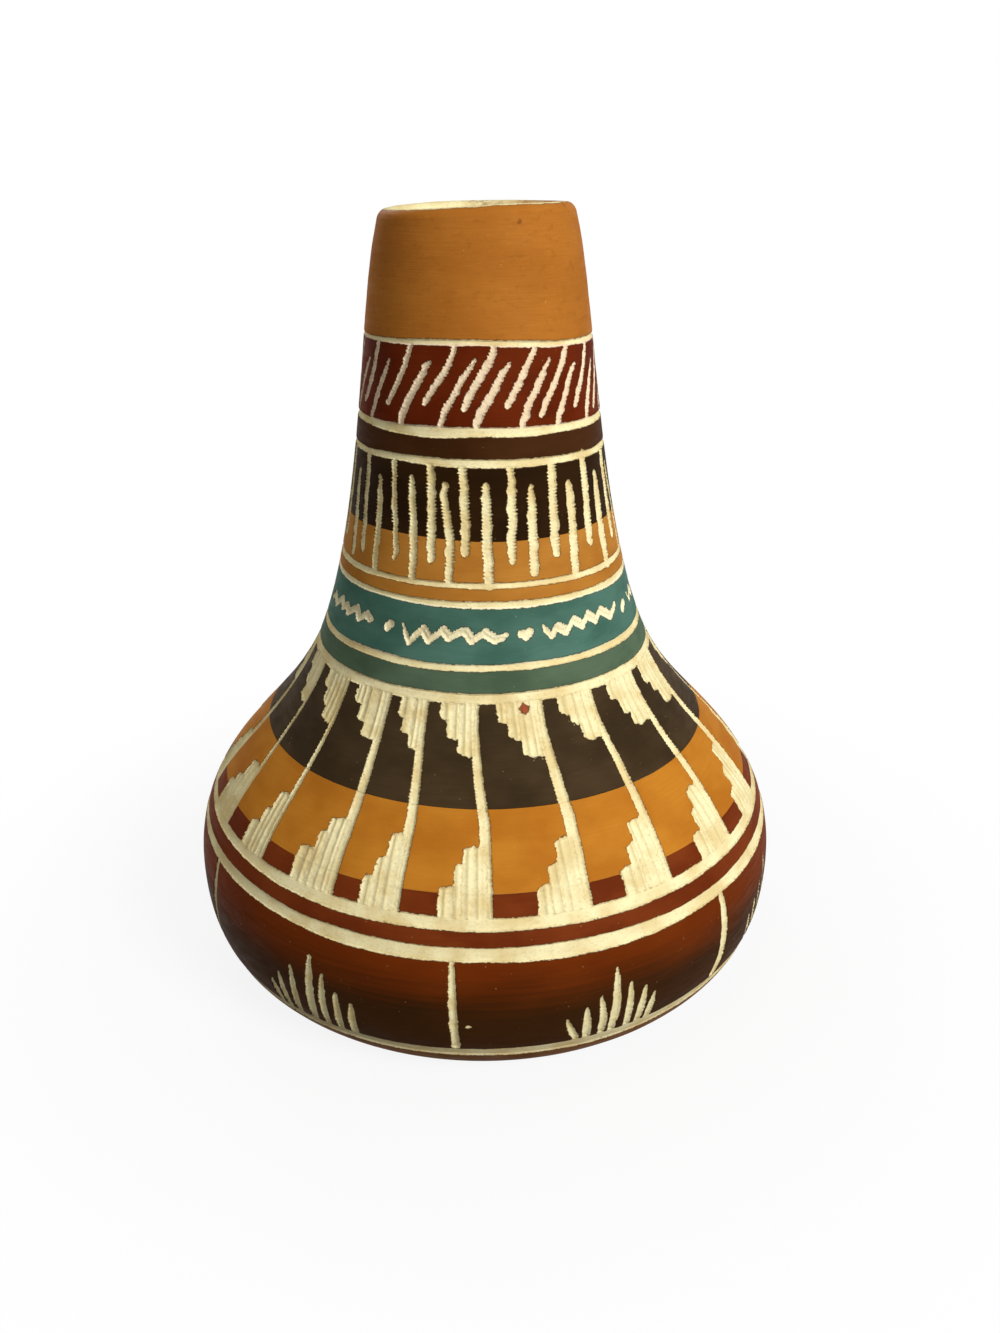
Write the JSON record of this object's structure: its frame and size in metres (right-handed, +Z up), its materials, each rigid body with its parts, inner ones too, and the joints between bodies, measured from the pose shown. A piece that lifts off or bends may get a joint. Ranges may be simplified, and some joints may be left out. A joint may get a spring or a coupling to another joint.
{
  "type": "etched pottery vase",
  "caption": "Hollow clay vase with a wide round belly and a tall tapering neck, coated in bands of coloured slip parted by etched rings.",
  "frame": {"origin": "centre of the flat base", "axes": "+Z up through the mouth; the side that the picture shows faces -Y"},
  "size_m": [0.1676, 0.1676, 0.203],
  "materials": {
    "clay": "bare fired clay, matt",
    "slip_tan": "smooth matt slip",
    "slip_red_brown": "smooth matt slip",
    "slip_dark_brown": "smooth matt slip",
    "slip_black": "smooth matt slip",
    "slip_teal": "smooth matt slip",
    "slip_green": "smooth matt slip",
    "slip_ochre": "smooth matt slip",
    "slip_rust": "smooth matt slip",
    "slip_belly": "smooth matt slip, red at the top, near black at the foot"
  },
  "bodies": {
    "root": {"clay_body": "clay", "neck_slip_tan": "slip_tan", "stroke_band_slip_red": "slip_red_brown", "collar_slip_brown": "slip_dark_brown", "stroke_band_slip_black": "slip_black", "stroke_band_slip_tan": "slip_tan", "thread_slip_tan": "slip_tan", "zigzag_band_slip_teal": "slip_teal", "shoulder_line_slip_green": "slip_green", "fret_band_slip_black": "slip_black", "fret_band_slip_ochre": "slip_ochre", "fret_band_slip_rust": "slip_rust", "belly_line_slip_rust": "slip_rust", "belly_slip_red_to_black": "slip_belly", "foot_slip_tan": "slip_tan"}
  },
  "joints": []
}
